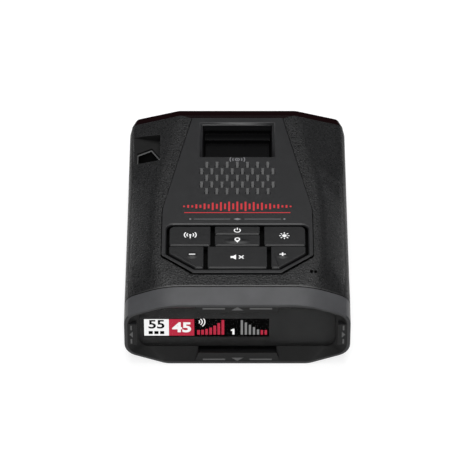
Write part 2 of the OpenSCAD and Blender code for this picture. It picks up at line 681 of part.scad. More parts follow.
// ---- dock ----
module mount_dock() {
    outer = [dock_w + 2 * dock_wall, dock_l + 2 * dock_wall];
    floor_z = case_h - dock_depth;
    top = panel_under - 0.7;
    color([0.07, 0.07, 0.075]) difference() {
        box_on([0, dock_y, floor_z - dock_wall], [outer.x, outer.y, top - floor_z + dock_wall]);
        difference() {
            dock_pocket();
            translate([-dock_w / 2, dock_y + dock_l / 2 - dock_ledge_l, floor_z - 1])
                cube([dock_w, dock_ledge_l + 1, 1 + dock_depth - dock_ledge_depth]);
        }
    }
}
module dock_magnets() {
    color([0.75, 0.75, 0.77]) for (x = [-8, 8])
        translate([x, dock_y - 1.5, case_h - dock_depth - dock_wall - 1.6]) cylinder(r = 4.5, h = 1.6);
}

// ---- speaker ----
speaker_z = 23;                            // underside of the magnet
module grille_cloth() {
    color([0.05, 0.05, 0.05]) box_on([0, grille_y, panel_under - 1], [31, 22.5, 0.3]);
}
module speaker_basket() {
    color([0.3, 0.3, 0.32]) difference() {
        box_on([0, grille_y, speaker_z + 3.4], [30, 21.6, 2]);
        translate([0, grille_y, 0]) cylinder(r = 9.6, h = 40);
    }
}
module speaker_cone() {
    color([0.12, 0.12, 0.13]) translate([0, grille_y, speaker_z + 3]) rotate_extrude()
        polygon([[0, 0], [3.5, 0], [9.4, 2], [9.4, 2.3], [3.4, 0.5], [0, 0.8]]);
}
module speaker_magnet() {
    color([0.6, 0.6, 0.62]) translate([0, grille_y, speaker_z]) cylinder(r = 6.5, h = 2.9);
}

// ---- boards ----
module main_board() {
    color([0.04, 0.28, 0.14]) difference() {
        translate([-pcb_hw, pcb_y[0], pcb_z]) cube([2 * pcb_hw, pcb_y[1] - pcb_y[0], board_t]);
        translate([-pcb_hw - 1, pcb_slot[1], 0]) cube([pcb_hw + 1 + pcb_slot[0], 40, 40]);
        for (sx = [-1, 1], y = screw_y) translate([sx * screw_x, y, 0]) cylinder(r = boss_r + 0.5, h = 40);
        for (p = board_screw_at) translate([p.x, p.y, 0]) cylinder(r = 1.1, h = 40);
    }
}
board_screw_at = [[-22, -12], [22, -12], [0, 13], [0, -16.6]];
// Chips, cans and capacitors on the main board: centre and size
chips = [[[-12, -34], [14, 14, 1.4]], [[14, -30], [10, 10, 1.2]], [[31, -14], [9, 6, 1.6]],
    [[-28, -20], [6, 5, 2]], [[14, 6], [12, 8, 1.6]], [[30, 22], [7, 7, 1.1]], [[-10, -2], [8, 5, 1.2]]];
capacitors = [[-34, -8], [-34, 0], [34, 6]];
module board_components() {
    top = pcb_z + board_t;
    color([0.08, 0.08, 0.08]) {
        for (c = chips) box_on([c[0].x, c[0].y, top], c[1]);
        for (c = capacitors) translate([c.x, c.y, top]) cylinder(r = 3, h = 5.5);
    }
}
module board_screws() {
    color([0.7, 0.7, 0.7]) for (p = board_screw_at) translate([p.x, p.y, pcb_z + board_t]) {
        cylinder(r = 1.8, h = 1);
        translate([0, 0, -3.5]) cylinder(r = 0.9, h = 3.6);
    }
}

// ---- receivers ----
horn_top = 13.6;
// A cast horn whose mouth faces s along Y
module horn(x, y0, y1, hw, s) {
    mouth = s > 0 ? y1 : y0;
    throat = s > 0 ? y1 - 20 : y0 + 16;
    color([0.72, 0.72, 0.7]) difference() {
        translate([x - hw, y0, wall + 0.5]) cube([2 * hw, y1 - y0, horn_top - wall - 0.5]);
        hull() {
            box_on([x, mouth + s * 0.1, wall + 1.7], [2 * hw - 2.4, 0.2, horn_top - wall - 2.9]);
            box_on([x, throat, 6.2], [11, 0.2, 4.4]);
        }
        for (p = board_screw_at) translate([p.x, p.y, pcb_z - 4]) cylinder(r = 1, h = 10);
    }
}
module front_horn() { horn(0, 10, 52, 16, 1); }
module rear_horn() { horn(-15, -48.5, -18.5, 13, -1); }
module mixer_module() {
    color([0.62, 0.62, 0.6]) difference() {
        translate([-24, -17.8, wall + 0.6]) cube([48, 27, 9.6]);
        for (x = [-8, 8]) translate([x - 0.4, -17.9, 11.6]) cube([0.8, 27.2, 3]);
    }
    color([0.62, 0.62, 0.6]) for (p = board_screw_at) if (p.y < 9 && p.y > -18)
        translate([p.x, p.y, wall + 10]) difference() {
            cylinder(r = 1.9, h = pcb_z - wall - 10.1);
            cylinder(r = 1, h = 10);
        }
}
module gps_antenna() {
    color([0.72, 0.66, 0.5]) {
        box_on([24.5, 39.5, pcb_z + board_t], [14, 14, 1.2]);
        box_on([24.5, 39.5, pcb_z + board_t + 1.2], [13, 13, 4]);
        translate([24.5, 39.5, pcb_z + board_t + 5.2]) cylinder(r = 1, h = 0.4);
    }
}
module wireless_module() {
    color([0.66, 0.66, 0.68]) box_on([-24, 8, pcb_z + board_t], [12, 16, 2.2]);
}
// Sensor barrels that look along Y, each with a lens
module sensor(x, z, y0, s, r) {
    translate([x, y0, z]) rotate([-90 * s, 0, 0]) {
        cylinder(r = r, h = 5);
        translate([0, 0, 4.99]) cylinder(r1 = r * 0.85, r2 = r * 0.4, h = 1);
    }
}
module front_laser_sensors() {
    color([0.1, 0.08, 0.1]) for (s = [-1, 1]) {
        sensor(s * 9, 19.7, 51, 1, 3);
        translate([s * 9 - 3.4, 47, pcb_z + board_t]) cube([6.8, 4.1, 6.4]);
    }
}
module rear_laser_sensor() {
    color([0.1, 0.08, 0.1]) {
        sensor(26.5, 20.2, -48, -1, 3.6);
        translate([21.5, -48.1, pcb_z + board_t]) cube([10, 4, 7.6]);
    }
}
module light_sensor() {
    m = (mic_at[0] + mic_at[1]) / 2;
    color([0.3, 0.3, 0.32]) box_on([m.x, m.y + 0.6, pcb_z + board_t + eps], [3.6, 3, 9.2]);
}

// ---- display ----
display_y = window_y + window_t + 0.15;
module display_module() {
    color([0.1, 0.1, 0.11]) difference() {
        translate([screen[0].x - 1.6, display_y, screen[0].y - 3.2])
            cube([screen[1].x - screen[0].x + 3.2, 2.2, screen[1].y - screen[0].y + 5]);
        translate([screen[0].x - 0.4, display_y - 1, screen[0].y - 0.4])
            cube([screen[1].x - screen[0].x + 0.8, 1.9, screen[1].y - screen[0].y + 0.8]);
    }
}
module display_glass() {
    color([0.02, 0.02, 0.02]) translate([screen[0].x - 0.3, display_y + 0.1, screen[0].y - 0.3])
        cube([screen[1].x - screen[0].x + 0.6, 0.75, screen[1].y - screen[0].y + 0.6]);
}
module display_flex() {
    color([0.75, 0.5, 0.2]) {
        translate([-24, display_y + 2.2, 9]) cube([14, 0.2, 8.4]);
        translate([-24, display_y + 2.2, 17.2]) cube([14, 6, 0.2]);
        translate([-24, display_y + 6.4, pcb_z + board_t]) cube([14, 1.8, 1.1]);
    }
}

// ---- sockets ----
module power_jack() {
    low = jack_at - jack_size / 2;
    high = jack_at + jack_size / 2;
    color([0.05, 0.05, 0.05]) difference() {
        front_prism([[low.x, low.z + jack_bevel], [low.x + jack_bevel, low.z], [high.x, low.z],
            [high.x, high.z], [low.x, high.z]], low.y, high.y);
        translate([low.x - 1, plug_at.x - plug_w / 2, plug_at.y - plug_h / 2])
            cube([plug_depth + 1, plug_w, plug_h]);
        translate([low.x - 1, jack_slot[0], plug_at.y]) cube([plug_depth - 2, jack_slot[1], jack_size.z]);
    }
}
module power_jack_pins() {
    x = jack_at.x - jack_size.x / 2 + plug_depth - 0.3;
    color([0.85, 0.68, 0.3]) for (i = [-2.5:2.5])
        translate([x, plug_at.x + i * pin_pitch - pin[1] / 2, plug_at.y - 3.2]) cube(pin);
}
module usb_socket() {
    x = -half_w + wall + 0.3;
    color([0.7, 0.7, 0.72]) difference() {
        translate([x, usb_y - usb_size.y / 2, port_z - usb_size.z / 2]) cube(usb_size);
        translate([x - 1, usb_y - usb_slot.x / 2, port_z - usb_slot.y / 2])
            cube([usb_size.x - 0.2, usb_slot.x, usb_slot.y]);
    }
    color([0.1, 0.1, 0.1]) translate([x + 1, usb_y - usb_tongue.y / 2, port_z - usb_tongue.z / 2])
        cube(usb_tongue);
}
module audio_jack() {
    x = half_w - wall - 0.3;
    color([0.06, 0.06, 0.06]) difference() {
        union() {
            translate([x - audio_size.x, audio_y - audio_size.y / 2, audio_z - audio_size.z / 2])
                cube(audio_size);
            translate([x - 1, audio_y, audio_z]) rotate([0, 90, 0]) cylinder(r = 3, h = wall + 0.9);
        }
        translate([x + wall - 0.1 - audio_bore_l, audio_y, audio_z]) rotate([0, 90, 0])
            cylinder(r = audio_bore_r, h = audio_bore_l + 2);
    }
}

// ---- fasteners and label ----
module case_screws() {
    color([0.2, 0.2, 0.2]) for (sx = [-1, 1], y = screw_y) translate([sx * screw_x, y, head_z]) {
        difference() {
            cylinder(r = head_r, h = head_t);
            translate([0, 0, -0.1]) {
                box_on([0, 0, 0], [2.2, 0.5, 0.8]);
                box_on([0, 0, 0], [0.5, 2.2, 0.8]);
            }
        }
        translate([0, 0, head_t - eps]) cylinder(r = screw_r - 0.05, h = 11);
    }
}
module rating_label() {
    color([0.75, 0.76, 0.77]) box_on([0, label_y, 0.1], [label.x, label.y, label.z - 0.1]);
}

top_cover();
bottom_shell();
control_panel();
front_bezel();
display_window();
ir_window();
key_sensitivity();
key_power();
key_mark();
key_brightness();
key_volume_down();
key_mute();
key_volume_up();
dome_sensitivity();
dome_power();
dome_mark();
dome_brightness();
dome_volume_down();
dome_mute();
dome_volume_up();
keypad_sheet();
key_board();
key_contacts();
mount_dock();
dock_magnets();
grille_cloth();
speaker_basket();
speaker_cone();
speaker_magnet();
main_board();
board_components();
board_screws();
front_horn();
rear_horn();
mixer_module();
gps_antenna();
wireless_module();
front_laser_sensors();
rear_laser_sensor();
light_sensor();
display_module();
display_glass();
display_flex();
arrow_guide_top();
arrow_guide_bottom();
arrow_guide_left();
arrow_guide_right();
power_jack();
power_jack_pins();
usb_socket();
audio_jack();
case_screws();
rating_label();
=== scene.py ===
"""Looks of the radar detector: rounded mouldings, printed symbols, a lit display, and a pale studio.

Heights, boxes and the mouldings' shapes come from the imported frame. Symbols, prints and the lit
figures are placed in the same frame, in millimetres. Other lengths are in metres, or times MM.
"""
import math

import bmesh
import bpy
import numpy as np
from mathutils import Matrix, Vector
from mathutils.kdtree import KDTree


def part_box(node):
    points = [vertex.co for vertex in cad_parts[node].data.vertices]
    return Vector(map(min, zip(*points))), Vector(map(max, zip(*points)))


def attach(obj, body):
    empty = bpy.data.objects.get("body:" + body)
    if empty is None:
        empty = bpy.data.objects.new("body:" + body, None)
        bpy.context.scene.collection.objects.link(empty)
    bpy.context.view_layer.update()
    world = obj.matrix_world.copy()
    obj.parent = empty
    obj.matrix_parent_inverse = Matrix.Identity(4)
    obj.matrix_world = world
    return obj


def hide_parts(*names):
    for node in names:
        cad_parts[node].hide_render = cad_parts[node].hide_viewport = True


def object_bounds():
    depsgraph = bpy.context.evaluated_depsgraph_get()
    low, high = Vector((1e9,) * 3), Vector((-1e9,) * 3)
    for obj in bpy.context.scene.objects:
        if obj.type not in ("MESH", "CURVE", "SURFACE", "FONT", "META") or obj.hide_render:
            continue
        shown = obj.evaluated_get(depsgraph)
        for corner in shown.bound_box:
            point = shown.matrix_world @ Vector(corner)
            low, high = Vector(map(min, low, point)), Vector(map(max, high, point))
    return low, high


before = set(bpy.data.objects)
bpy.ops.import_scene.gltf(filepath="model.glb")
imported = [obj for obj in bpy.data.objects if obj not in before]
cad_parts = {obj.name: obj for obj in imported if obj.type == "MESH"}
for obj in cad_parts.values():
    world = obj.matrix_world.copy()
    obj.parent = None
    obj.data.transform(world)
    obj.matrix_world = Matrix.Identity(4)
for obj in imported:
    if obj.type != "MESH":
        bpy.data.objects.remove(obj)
CAD_BOUNDS = [list(corner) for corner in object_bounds()]
MM = 0.001
CASE = "case"
KEYS = ("sensitivity", "power", "mark", "brightness", "volume_down", "mute", "volume_up")
CASE_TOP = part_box("control_panel")[1].z
KEY_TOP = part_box("key_mute")[1].z
COVER_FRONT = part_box("top_cover")[0].y
BEZEL_LOW, BEZEL_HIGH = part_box("front_bezel")
TINY = 0.01 * MM            # the lift of a print, and the play allowed between equal heights
SHARP_ANGLE = 35            # faces of a moulding that meet at more degrees keep a sharp edge
CELL = 4.1 * MM             # cells that a curved moulding is cut into
BLEND_REACH = 4.5 * MM      # how far its shading is blended
PAD_X, PAD_Y = 17.4, -33.0  # centre of the volume keys' finger pads
PAD_HEIGHT = 0.28 * MM


# ---- small helpers ----

def add_object(name, mesh, material, body=CASE, replaces=()):
    """Puts a mesh in the scene as a piece of the object."""
    piece = bpy.data.objects.new(name, mesh)
    bpy.context.scene.collection.objects.link(piece)
    mesh.materials.append(material)
    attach(piece, body)
    if replaces:
        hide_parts(*replaces)
    return piece


def mesh_from(bm, name, sharp_angle):
    """A mesh from a bmesh; faces that meet at more than sharp_angle degrees keep a sharp edge."""
    mesh = bpy.data.meshes.new(name)
    bmesh.ops.recalc_face_normals(bm, faces=bm.faces)
    bm.to_mesh(mesh)
    bm.free()
    mesh.shade_smooth()
    mesh.set_sharp_from_angle(angle=math.radians(sharp_angle))
    return mesh


def sliced(bm, step):
    """Cuts the faces into cells about step metres wide, without changing the shape."""
    low = [min(v.co[axis] for v in bm.verts) for axis in range(3)]
    high = [max(v.co[axis] for v in bm.verts) for axis in range(3)]
    for axis in range(3):
        direction = Vector((0, 0, 0))
        direction[axis] = 1
        for i in range(1, int((high[axis] - low[axis]) / step) + 1):
            geometry = bm.verts[:] + bm.edges[:] + bm.faces[:]
            bmesh.ops.bisect_plane(bm, geom=geometry, plane_co=direction * (low[axis] + i * step),
                                   plane_no=direction, dist=0.0001 * MM)


def blended_normals(mesh, reach, limit=25.0):
    """Shades a surface of flat cells as one smooth curve: each corner takes the mean direction of the
    faces within reach that turn less than limit degrees from its own."""
    tree = KDTree(len(mesh.polygons))
    for polygon in mesh.polygons:
        tree.insert(polygon.center, polygon.index)
    tree.balance()
    least = math.cos(math.radians(limit))
    facing = np.array([p.normal for p in mesh.polygons])
    areas = np.array([p.area for p in mesh.polygons])
    near = []
    for vertex in mesh.vertices:
        found = tree.find_range(vertex.co, reach)
        near.append((np.array([f[1] for f in found], dtype=int),
                     np.array([1 - f[2] / reach for f in found])))
    normals = np.empty((len(mesh.loops), 3))
    for polygon in mesh.polygons:
        own = facing[polygon.index]
        for corner in polygon.loop_indices:
            faces, fade = near[mesh.loops[corner].vertex_index]
            share = np.clip(facing[faces] @ own - least, 0, None) * areas[faces] * fade
            total = share @ facing[faces] + own * (polygon.area * 0.001)
            normals[corner] = total / np.linalg.norm(total)
    mesh.shade_smooth()
    mesh.normals_split_custom_set(normals.tolist())


def even_normals(piece):
    """Keeps flat faces flat beside their rounded edges."""
    modifier = piece.modifiers.new("even_normals", "WEIGHTED_NORMAL")
    modifier.keep_sharp = True
    modifier.weight = 100


# ---- materials ----

class Look:
    """A material round one Principled shader, with calls that add its nodes."""

    def __init__(self, name, color, roughness, **sockets):
        self.material = bpy.data.materials.new(name)
        self.material.use_nodes = True
        self.tree = self.material.node_tree
        self.shader = self.tree.nodes["Principled BSDF"]
        self.color = color
        self.roughness = roughness
        self.shader.inputs["Base Color"].default_value = (*color, 1)
        self.shader.inputs["Roughness"].default_value = roughness
        for socket, value in sockets.items():
            self.shader.inputs[socket.replace("_", " ")].default_value = value
        self.place = self.node("ShaderNodeTexCoord").outputs["Object"]
        self.normal = None

    def node(self, kind, **settings):
        """A new node with the given settings."""
        made = self.tree.nodes.new(kind)
        for key, value in settings.items():
            setattr(made, key, value)
        return made

    def link(self, output, node, socket):
        """Links an output to a node's named input."""
        self.tree.links.new(output, node.inputs[socket])

    def stretched(self, stretch):
        """Object coordinates, stretched along the axes."""
        mapping = self.node("ShaderNodeMapping")
        mapping.inputs["Scale"].default_value = stretch
        self.link(self.place, mapping, "Vector")
        return mapping.outputs["Vector"]

    def noise(self, size, detail=2.0, stretch=None):
        """Noise whose features are about size metres across."""
        texture = self.node("ShaderNodeTexNoise")
        texture.inputs["Scale"].default_value = 1 / size
        texture.inputs["Detail"].default_value = detail
        self.link(self.stretched(stretch) if stretch else self.place, texture, "Vector")
        return texture.outputs["Fac"]

    def cells(self, size, feature="F1"):
        """Rounded cells about size metres across."""
        texture = self.node("ShaderNodeTexVoronoi", feature=feature)
        texture.inputs["Scale"].default_value = 1 / size
        self.link(self.place, texture, "Vector")
        return texture.outputs["Distance"]

    def spread(self, value, low, high, new_low, new_high):
        """Maps value from low..high to new_low..new_high, clamped."""
        ranged = self.node("ShaderNodeMapRange")
        self.link(value, ranged, "Value")
        for socket, number in zip(("From Min", "From Max", "To Min", "To Max"),
                                  (low, high, new_low, new_high)):
            ranged.inputs[socket].default_value = number
        return ranged.outputs["Result"]

    def shades(self, value, low, high, dark, light):
        """Runs the base colour from dark to light times itself as value goes from low to high."""
        ramp = self.node("ShaderNodeValToRGB")
        ramp.color_ramp.elements[0].position = low
        ramp.color_ramp.elements[1].position = high
        ramp.color_ramp.elements[0].color = (*(c * dark for c in self.color), 1)
        ramp.color_ramp.elements[1].color = (*(c * light for c in self.color), 1)
        self.link(value, ramp, "Fac")
        self.link(ramp.outputs["Color"], self.shader, "Base Color")

    def rough(self, value, change):
        """Varies the roughness by change either way."""
        varied = self.spread(value, 0.3, 0.7, self.roughness - change, self.roughness + change)
        self.link(varied, self.shader, "Roughness")

    def bump(self, value, height):
        """Raises the surface by up to height metres where value is 1."""
        bump = self.node("ShaderNodeBump")
        bump.inputs["Strength"].default_value = 1.0
        bump.inputs["Distance"].default_value = height
        self.link(value, bump, "Height")
        if self.normal:
            self.link(self.normal, bump, "Normal")
        self.normal = bump.outputs["Normal"]
        self.link(self.normal, self.shader, "Normal")

    def glow(self, color, strength):
        """Makes the surface shine by itself."""
        self.shader.inputs["Emission Color"].default_value = (*color, 1)
        self.shader.inputs["Emission Strength"].default_value = strength

    def soft_edges(self, radius):
        """Shades every edge as if rounded to radius. Called before bump."""
        edges = self.node("ShaderNodeBevel", samples=6)
        edges.inputs["Radius"].default_value = radius
        self.normal = edges.outputs["Normal"]


def grained_plastic(name, color, roughness, grain, height, **sockets):
    """Moulded plastic with a pebbled grain."""
    look = Look(name, color, roughness, **sockets)
    look.soft_edges(0.25 * MM)
    look.shades(look.noise(grain, 3), 0.38, 0.64, 0.55, 1.6)
    look.rough(look.noise(grain * 0.8, 2), 0.18)
    look.bump(look.cells(grain), height)
    look.bump(look.noise(grain * 0.6, 2), height * 0.8)
    return look.material


def satin_plastic(name, color, roughness, edge=0.0, **sockets):
    """Smooth moulded plastic with a faint spark-eroded finish."""
    look = Look(name, color, roughness, **sockets)
    if edge:
        look.soft_edges(edge)
    look.shades(look.noise(7 * MM, 4), 0.3, 0.7, 0.9, 1.1)
    look.rough(look.noise(1.5 * MM, 3), 0.03)
    look.bump(look.noise(0.12 * MM, 2), 0.003 * MM)
    return look.material


def key_plastic():
    """Key caps, with the faint crosswise lines of their tool."""
    look = Look("key_plastic", (0.007, 0.007, 0.0075), 0.36, Specular_IOR_Level=0.32)
    look.shades(look.noise(0.5 * MM, 3, (0.12, 1, 1)), 0.3, 0.7, 0.75, 1.3)
    look.rough(look.noise(0.3 * MM, 2, (0.1, 1, 1)), 0.05)
    look.bump(look.noise(0.25 * MM, 2, (0.08, 1, 1)), 0.004 * MM)
    return look.material


def polished_plastic(name, color, roughness, **sockets):
    """Polished plastic with the slight waviness of a moulded window."""
    look = Look(name, color, roughness, **sockets)
    look.shades(look.noise(12 * MM, 2), 0.3, 0.7, 0.92, 1.08)
    look.rough(look.noise(3 * MM, 4), 0.02)
    look.bump(look.noise(6 * MM, 1), 0.006 * MM)
    return look.material


def metal(name, color, roughness, grain=(1, 1, 1)):
    """Plain metal with a directional or even finish."""
    look = Look(name, color, roughness, Metallic=1.0)
    look.shades(look.noise(2 * MM, 4, grain), 0.3, 0.7, 0.82, 1.1)
    look.rough(look.noise(0.6 * MM, 3, grain), 0.08)
    look.bump(look.noise(0.2 * MM, 2, grain), 0.004 * MM)
    return look.material


def circuit_board():
    """Green solder resist over faint copper tracks."""
    look = Look("circuit_board", (0.015, 0.09, 0.035), 0.35)
    look.shades(look.cells(2.2 * MM, "DISTANCE_TO_EDGE"), 0.06, 0.12, 1.7, 0.9)
    look.rough(look.noise(0.8 * MM, 3), 0.06)
    look.bump(look.cells(2.2 * MM, "DISTANCE_TO_EDGE"), 0.02 * MM)
    return look.material


def woven_cloth():
    """Fine acoustic cloth."""
    look = Look("acoustic_cloth", (0.012, 0.012, 0.012), 0.9, Sheen_Weight=0.3)
    look.shades(look.cells(0.3 * MM), 0.2, 0.8, 0.6, 1.5)
    look.rough(look.noise(0.5 * MM), 0.05)
    look.bump(look.cells(0.3 * MM), 0.03 * MM)
    return look.material


def printed_ink(name, color, glow=0.0):
    """Screen-printed ink; with glow above 0 it shines by itself, a painted glow."""
    look = Look(name, color, 0.5)
    look.shades(look.noise(0.4 * MM, 3), 0.3, 0.7, 0.93, 1.05)
    look.rough(look.noise(0.3 * MM), 0.04)
    if glow:
        look.glow(color, glow)
    return look.material


def lit_figures(name, color, strength):
    """A lit area of the display."""
    look = Look(name, tuple(c * 0.1 for c in color), 0.5, Specular_IOR_Level=0.0)
    look.glow(color, strength)
    look.shades(look.noise(0.3 * MM), 0.3, 0.7, 0.9, 1.1)
    return look.material


LOOKS = {
    **{part: grained_plastic(f"{part}_grain", (0.006, 0.006, 0.0062), 0.35, 0.75 * MM, 0.08 * MM,
                             Specular_IOR_Level=0.38) for part in ("cover", "shell")},
    "flank": grained_plastic("flank_grain", (0.008, 0.008, 0.0082), 0.38, 0.75 * MM, 0.07 * MM,
                             Specular_IOR_Level=0.07),
    "pit": satin_plastic("notch_smooth", (0.011, 0.011, 0.011), 0.5, 0.15 * MM,
                         Specular_IOR_Level=0.1),
    # painted highlight: a light grey on the latch hole's bevel, for the bright line the lamps make
    # there
    "edge": satin_plastic("latch_edge", (0.13, 0.13, 0.13), 0.3),
    # painted shade: near black for the sound holes' walls, the faces in the gaps behind the bezel and
    # beside the panel, and the key well seen between the keys
    "gap": satin_plastic("seam_shadow", (0.002, 0.002, 0.002), 0.5, Specular_IOR_Level=0.02),
    # painted highlight: a lighter grey for the cover's chamfer by the bezel and for the dock's sloping
    # faces
    "lip": satin_plastic("chamfer_painted_highlight", (0.02, 0.02, 0.02), 0.3),
    "panel": satin_plastic("panel_satin", (0.011, 0.011, 0.0118), 0.33, 0.2 * MM,
                           Specular_IOR_Level=0.45),
    "bezel": satin_plastic("bezel_satin", (0.018, 0.0182, 0.0196), 0.4, 0.3 * MM,
                           Specular_IOR_Level=0.4),
    # painted sheen: the bezel's upward faces get a lighter grey that stands in for the overhead lamp's
    # reflection
    "band": satin_plastic("band_painted_sheen", (0.062, 0.0625, 0.066), 0.4, 0.3 * MM,
                          Specular_IOR_Level=0.25),
    # painted shade: a darker copy of the bezel plastic for its recessed dish behind the rim
    "dish": satin_plastic("bezel_painted_shade", (0.012, 0.012, 0.012), 0.45, 0.2 * MM,
                          Specular_IOR_Level=0.15),
    "dock": satin_plastic("dock_black", (0.003, 0.003, 0.0032), 0.35, 0.2 * MM,
                          Specular_IOR_Level=0.06),
    "key": key_plastic(),
    "window": polished_plastic("smoked_window", (0.002, 0.002, 0.002), 0.1, Alpha=0.25,
                               Specular_IOR_Level=0.03),
    "mask": satin_plastic("window_mask", (0.095, 0.095, 0.095), 0.6, Specular_IOR_Level=0.1),
    "infrared": polished_plastic("infrared_window", (0.006, 0.0012, 0.0016), 0.15,
                                 Specular_IOR_Level=0.07),
    "guide": polished_plastic("light_guide", (0.07, 0.07, 0.07), 0.3),
    "sensor": polished_plastic("sensor_plastic", (0.02, 0.01, 0.02), 0.15),
    "black": satin_plastic("socket_black", (0.008, 0.008, 0.008), 0.35),
    "chip": satin_plastic("chip_black", (0.015, 0.015, 0.015), 0.5),
    "board": circuit_board(),
    "gold": metal("contact_gold", (0.9, 0.62, 0.22), 0.25),
    "steel": metal("plated_steel", (0.62, 0.62, 0.63), 0.3),
    "alloy": metal("cast_alloy", (0.55, 0.55, 0.54), 0.5),
    "ferrite": metal("ferrite", (0.12, 0.12, 0.13), 0.6),
    "screw": metal("black_screw", (0.04, 0.04, 0.042), 0.4),
    "ceramic": satin_plastic("antenna_ceramic", (0.5, 0.42, 0.28), 0.6),
    "film": satin_plastic("polyester_film", (0.35, 0.37, 0.38), 0.4),
    "amber": satin_plastic("polyimide_film", (0.45, 0.18, 0.03), 0.3),
    "cloth": woven_cloth(),
    "paper": satin_plastic("cone_paper", (0.03, 0.03, 0.032), 0.8),
    "label": metal("label_film", (0.5, 0.51, 0.52), 0.45, (0.05, 1, 1)),
    # white and red ink get a faint painted glow, shining by themselves though they are no lamp
    "white_ink_painted_glow": printed_ink("white_ink_painted_glow", (0.8, 0.8, 0.8), 0.25),
    "grey_ink": printed_ink("grey_ink", (0.2, 0.2, 0.21)),
    "red_ink_painted_glow": printed_ink("red_ink_painted_glow", (0.5, 0.012, 0.02), 0.2),
    "glass": polished_plastic("display_glass", (0.001, 0.001, 0.001), 0.3,
                              Specular_IOR_Level=0.03),
    "lit_white": lit_figures("lit_white", (1, 1, 1), 1.6),
    "lit_red": lit_figures("lit_red", (0.8, 0.05, 0.1), 1.0),
    "lit_grey": lit_figures("lit_grey", (0.3, 0.3, 0.3), 1.3),
    "unlit": lit_figures("unlit_black", (0.0, 0.0, 0.0), 0.0),
}

# CAD nodes whose shape is shown as it is
PLAIN_NODES = {
    "keypad_sheet": "film", "key_board": "board", "key_contacts": "gold", "dock_magnets": "steel",
    "grille_cloth": "cloth", "speaker_basket": "steel", "speaker_cone": "paper",
    "speaker_magnet": "ferrite", "main_board": "board", "board_components": "chip",
    "board_screws": "steel", "front_horn": "alloy", "rear_horn": "alloy", "mixer_module": "steel",
    "gps_antenna": "ceramic", "wireless_module": "steel", "front_laser_sensors": "sensor",
    "rear_laser_sensor": "sensor", "light_sensor": "sensor", "display_module": "chip",
    "display_glass": "glass", "display_flex": "amber", "power_jack_pins": "gold",
    "rating_label": "label", **{f"dome_{key}": "steel" for key in KEYS},
}

# Mouldings: look, slot, edge radius in millimetres; 0 leaves the rounding to the look's soft edges
MOULDINGS = {
    "top_cover": ("cover", "cover_plastic", 0),
    "bottom_shell": ("shell", "shell_plastic", 0),
    "front_bezel": ("bezel", "bezel_plastic", 0),
    "ir_window": ("infrared", "infrared_window", 0.22),
    "mount_dock": ("dock", "dock_plastic", 0.15),
    "display_window": ("window", "smoked_window", 0.2),
    "power_jack": ("black", "socket_plastic", 0.15),
    "usb_socket": ("steel", "socket_steel", 0.06),
    "audio_jack": ("black", "socket_plastic", 0.15),
    "case_screws": ("screw", "black_screw", 0.08),
    **{f"arrow_guide_{side}": ("guide", "light_guide", 0.04)
       for side in ("top", "bottom", "left", "right")},
}
CURVED = {"top_cover", "bottom_shell", "front_bezel"}


# ---- faces with a look of their own ----

def within(point, low, high):
    """Whether a point lies between two corners given across and along, in millimetres."""
    return low[0] < point.x / MM < high[0] and low[1] < point.y / MM < high[1]


def in_notch(face):
    """The smooth faces of the finger notch and of the latch hole in it."""
    on_slope = 0.05 < abs(face.normal.x) < 0.5 and face.normal.z > 0.85
    return within(face.calc_center_median(), (-41.6, 27.5), (-30.3, 48.5)) and not on_slope


def is_latch_bevel(face):
    """The bevel round the edge of the latch hole, painted light grey as a painted highlight."""
    return in_notch(face) and 0.4 < face.normal.z < 0.85


def in_mic_hole(face):
    """The walls of the two small sound holes."""
    return (within(face.calc_center_median(), (27.5, -43.5), (31, -40.5))
            and abs(face.normal.z) < 0.1)


def is_lip(face):
    """The bevelled edge next to the bezel; its lighter colour is a painted highlight."""
    return (all(v.co.y < COVER_FRONT + 0.4 * MM for v in face.verts)
            and -0.9 < face.normal.y < -0.4)


def is_near_end(face):
    """The end faces that look into the gap behind the bezel."""
    return all(v.co.y < COVER_FRONT + TINY for v in face.verts)


def is_panel_side(face):
    """The panel's outer sides, seen as a dark line beside the cover."""
    middle = face.calc_center_median()
    return (abs(middle.x) > 17.5 * MM and middle.x * face.normal.x > 0
            and abs(face.normal.x) > 0.25 and middle.z > CASE_TOP - 2 * MM)


def in_key_gap(face):
    """The lower walls and the floor of the key well, seen between the keys."""
    middle = face.calc_center_median()
    return within(middle, (-27.8, -42), (27.8, -14)) and middle.z < CASE_TOP - 1 * MM


def in_dish(face):
    """The bezel's faces behind its rim: the dish round the window and the arrow blocks, painted darker
    as painted shade in the recess.
    """
    middle = face.calc_center_median()
    half_height = BEZEL_HIGH.z / 2
    outward_side = Vector((middle.x / BEZEL_HIGH.x, 0, (middle.z - half_height) / half_height))
    return (middle.y < BEZEL_LOW.y + 4 * MM and face.normal.y < 0.9
            and face.normal.dot(outward_side) < 0.2
            and any(v.co.y > BEZEL_LOW.y + 0.1 * MM for v in face.verts))


def is_band(face):
    """The bezel's top band; its upward faces are painted lighter grey as a painted sheen of the lamp
    above.
    """
    return face.normal.z > 0.4 and face.calc_center_median().z > 20 * MM


def is_flank(face):
    """The upright sides and the long corners."""
    return abs(face.normal.x) > 0.66


def faces_driver(face):
    """Sloping faces that look up and towards the display end; they get a lighter colour as a painted
    highlight.
    """
    return face.normal.y < -0.4 and face.normal.z > 0.4


# Looks of single faces, by node; a later entry goes over an earlier one
OTHER_LOOKS = {
    "top_cover": (("flank", is_flank), ("pit", in_notch), ("edge", is_latch_bevel),
                  ("gap", in_mic_hole), ("lip", is_lip), ("gap", is_near_end)),
    "bottom_shell": (("flank", is_flank), ("lip", is_lip), ("gap", is_near_end)),
    "control_panel": (("gap", is_panel_side), ("gap", in_key_gap)),
    "front_bezel": (("band", is_band), ("dish", in_dish)),
    "mount_dock": (("lip", faces_driver),),
}


